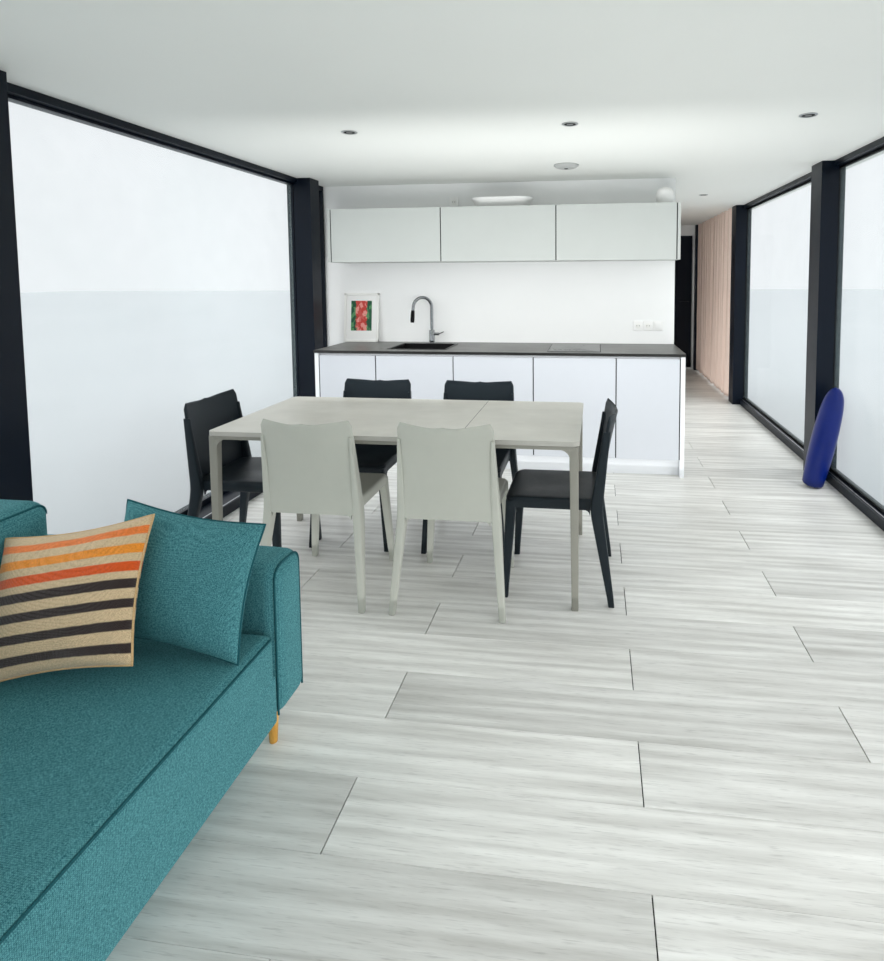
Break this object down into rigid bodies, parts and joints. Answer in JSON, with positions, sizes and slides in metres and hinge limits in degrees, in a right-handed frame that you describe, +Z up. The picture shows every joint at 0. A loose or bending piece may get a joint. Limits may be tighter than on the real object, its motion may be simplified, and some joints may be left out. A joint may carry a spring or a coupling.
{
  "type": "houseboat",
  "caption": "Houseboat: a glazed deckhouse with galley, dining set and sofa on two floats, with sliding doors and railed end decks.",
  "frame": {"origin": "middle of the boat, level with the bottoms of the floats", "axes": "+Y towards the stern, +X to starboard, +Z up"},
  "size_m": [4.4, 12.3, 3.44],
  "materials": {
    "hull": "satin paint over welded plate",
    "frame_steel": "satin paint",
    "decking": "weathered grooved boards",
    "rail_steel": "brushed",
    "floor_planks": "grey-washed oak planks, satin",
    "roof_panel": "matt",
    "anthracite": "satin powder coat",
    "cladding": "satin, vertical boards",
    "wall_white": "matt wall panel",
    "glass": "clear",
    "carcass": "matt laminate",
    "front_white": "satin laminate",
    "flap_grey": "matt lacquer",
    "worktop": "fine dark stone look",
    "sink_black": "matt composite",
    "chrome": "polished",
    "table_stone": "stone look, satin",
    "table_metal": "satin powder coat",
    "chair_pale": "moulded, fine grain",
    "chair_dark": "moulded, fine grain",
    "teal_fabric": "woven melange with piping",
    "striped_fabric": "coarse weave, orange, beige and brown bands",
    "curtain_fabric": "plain hanging cloth",
    "fender_blue": "smooth inflated vinyl",
    "picture_frame": "white painted moulding"
  },
  "bodies": {
    "boat": {"float_port": "hull", "float_starboard": "hull", "deck_frame": "frame_steel", "fore_deck": "decking", "aft_deck": "decking", "fore_rail": "rail_steel", "aft_rail": "rail_steel", "cabin_floor": "floor_planks", "roof": "roof_panel", "port_frame": "anthracite", "starboard_frame": "anthracite", "front_frame": "anthracite", "aft_wall": "anthracite", "port_aft_wall": "cladding", "galley_wall": "wall_white", "corridor_wall": "wall_white", "port_glass_1": "glass", "port_glass_2": "glass", "port_window_1": "glass", "port_window_2": "glass", "starboard_glass_1": "glass", "starboard_glass_2": "glass", "starboard_glass_3": "glass", "starboard_glass_4": "glass", "front_glass": "glass", "base_carcass": "carcass", "worktop": "worktop", "sink": "sink_black", "tap": "chrome", "wall_carcass": "flap_grey", "table_top": "table_stone", "table_frame": "table_metal", "sofa_base": "teal_fabric", "sofa_seat": "teal_fabric", "sofa_back": "teal_fabric", "pillow_teal": "teal_fabric", "pillow_striped": "striped_fabric", "curtain": "curtain_fabric", "fender": "fender_blue", "picture": "picture_frame", "chair_1": "chair_pale", "chair_2": "chair_pale", "chair_3": "chair_dark", "chair_4": "chair_dark", "chair_5": "chair_dark", "chair_6": "chair_dark"},
    "port_slider": {"port_door": "anthracite", "port_door_glass": "glass"},
    "front_slider": {"front_door": "anthracite", "front_door_glass": "glass"},
    "stern_door": {"aft_door": "anthracite"},
    "cupboard_1": {"base_front_1": "front_white"},
    "cupboard_2": {"base_front_2": "front_white"},
    "cupboard_3": {"base_front_3": "front_white"},
    "drawer": {"base_front_4": "front_white"},
    "cupboard_5": {"base_front_5": "front_white"},
    "wall_flap_1": {"flap_1": "flap_grey"},
    "wall_flap_2": {"flap_2": "flap_grey"},
    "wall_flap_3": {"flap_3": "flap_grey"}
  },
  "joints": [
    {"name": "port_slide", "type": "slide", "parent": "boat", "child": "port_slider", "axis": [0, -1, 0], "range_m": [0, 2.25]},
    {"name": "front_slide", "type": "slide", "parent": "boat", "child": "front_slider", "axis": [-1, 0, 0], "range_m": [0, 1.75]},
    {"name": "stern_hinge", "type": "hinge", "parent": "boat", "child": "stern_door", "pos_m": [1.009, 5.0843, 0.96], "axis": [0, 0, 1], "range_deg": [0, 95]},
    {"name": "cupboard_hinge_1", "type": "hinge", "parent": "boat", "child": "cupboard_1", "pos_m": [-1.742, -0.172, 0.96], "axis": [0, 0, -1], "range_deg": [0, 90]},
    {"name": "cupboard_hinge_2", "type": "hinge", "parent": "boat", "child": "cupboard_2", "pos_m": [-1.292, -0.172, 0.96], "axis": [0, 0, -1], "range_deg": [0, 90]},
    {"name": "cupboard_hinge_3", "type": "hinge", "parent": "boat", "child": "cupboard_3", "pos_m": [-0.692, -0.172, 0.96], "axis": [0, 0, -1], "range_deg": [0, 90]},
    {"name": "drawer_slide", "type": "slide", "parent": "boat", "child": "drawer", "axis": [0, -1, 0], "range_m": [0, 0.42]},
    {"name": "cupboard_hinge_5", "type": "hinge", "parent": "boat", "child": "cupboard_5", "pos_m": [0.508, -0.172, 0.96], "axis": [0, 0, -1], "range_deg": [0, 90]},
    {"name": "flap_hinge_1", "type": "hinge", "parent": "boat", "child": "wall_flap_1", "pos_m": [0, 0.087, 2.952], "axis": [-1, 0, 0], "range_deg": [0, 85]},
    {"name": "flap_hinge_2", "type": "hinge", "parent": "boat", "child": "wall_flap_2", "pos_m": [0, 0.087, 2.952], "axis": [-1, 0, 0], "range_deg": [0, 85]},
    {"name": "flap_hinge_3", "type": "hinge", "parent": "boat", "child": "wall_flap_3", "pos_m": [0, 0.087, 2.952], "axis": [-1, 0, 0], "range_deg": [0, 85]}
  ]
}
